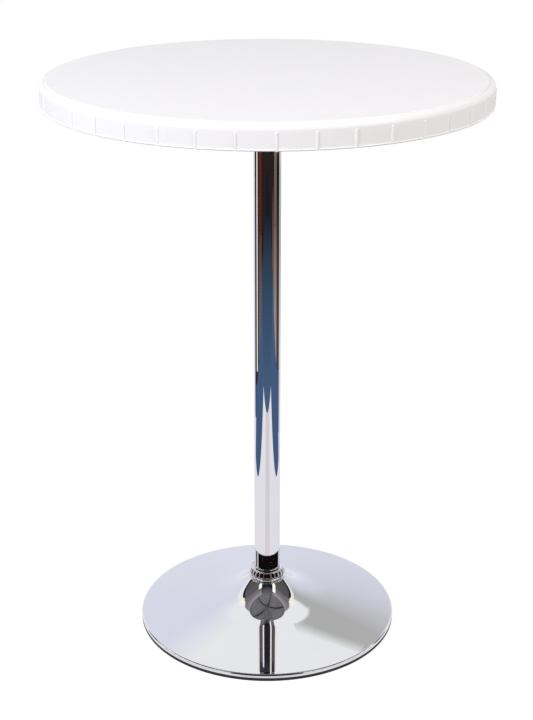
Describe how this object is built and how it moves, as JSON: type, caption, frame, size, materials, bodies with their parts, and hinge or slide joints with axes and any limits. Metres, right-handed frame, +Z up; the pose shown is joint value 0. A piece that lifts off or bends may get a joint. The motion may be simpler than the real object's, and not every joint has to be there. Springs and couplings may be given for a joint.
{
  "type": "pub table",
  "caption": "Tall round pub table: moulded white top on a steel cross, chromed column clamped by a knurled lock ring in a weighted trumpet base.",
  "frame": {"origin": "centre of the base on the floor", "axes": "+Z up along the column; the arms of the cross under the top lie along X and Y"},
  "size_m": [0.8028, 0.8028, 1.09],
  "materials": {
    "white_polypropylene": "fine-grained moulded field, smooth satin border and skirt",
    "chrome": "bright mirror plating",
    "black_steel": "satin black powder coat",
    "zinc_steel": "bright zinc plate",
    "turned_steel": "plain turned steel, lightly oiled",
    "nylon": "natural nylon",
    "black_polyethylene": "moulded, matte",
    "black_rubber": "moulded rubber, matte"
  },
  "bodies": {
    "table": {"arm_cap_1": "black_polyethylene", "arm_cap_2": "black_polyethylene", "arm_cap_3": "black_polyethylene", "arm_cap_4": "black_polyethylene", "ballast_disc": "black_steel", "base_hub": "turned_steel", "base_plate": "black_steel", "base_shell": "chrome", "column_foot": "turned_steel", "column_head_plug": "turned_steel", "column_tube": "chrome", "floor_ring": "black_rubber", "head_bolt": "zinc_steel", "head_washer": "zinc_steel", "hub_screws": "zinc_steel", "neck_ring": "chrome", "screw_washers": "zinc_steel", "socket_plate": "black_steel", "spider_arm_1": "black_steel", "spider_arm_2": "black_steel", "spider_arm_3": "black_steel", "spider_arm_4": "black_steel", "spider_socket": "black_steel", "table_top": "white_polypropylene", "top_screws": "zinc_steel"},
    "slip_washer": {"slip_washer": "nylon"},
    "lock_ring": {"lock_ring": "chrome"}
  },
  "joints": [
    {"name": "lock_ring_rise", "type": "slide", "parent": "table", "child": "slip_washer", "axis": [0, 0, 1], "range_m": [0, 0.007]},
    {"name": "lock_ring_turn", "type": "hinge", "parent": "slip_washer", "child": "lock_ring", "pos_m": [0, 0, 0.097], "axis": [0, 0, 1], "range_deg": [0, 1260]}
  ],
  "couplings": [
    {"joint": "lock_ring_rise", "follows": "lock_ring_turn", "m_per_rad": 0.0003183}
  ]
}
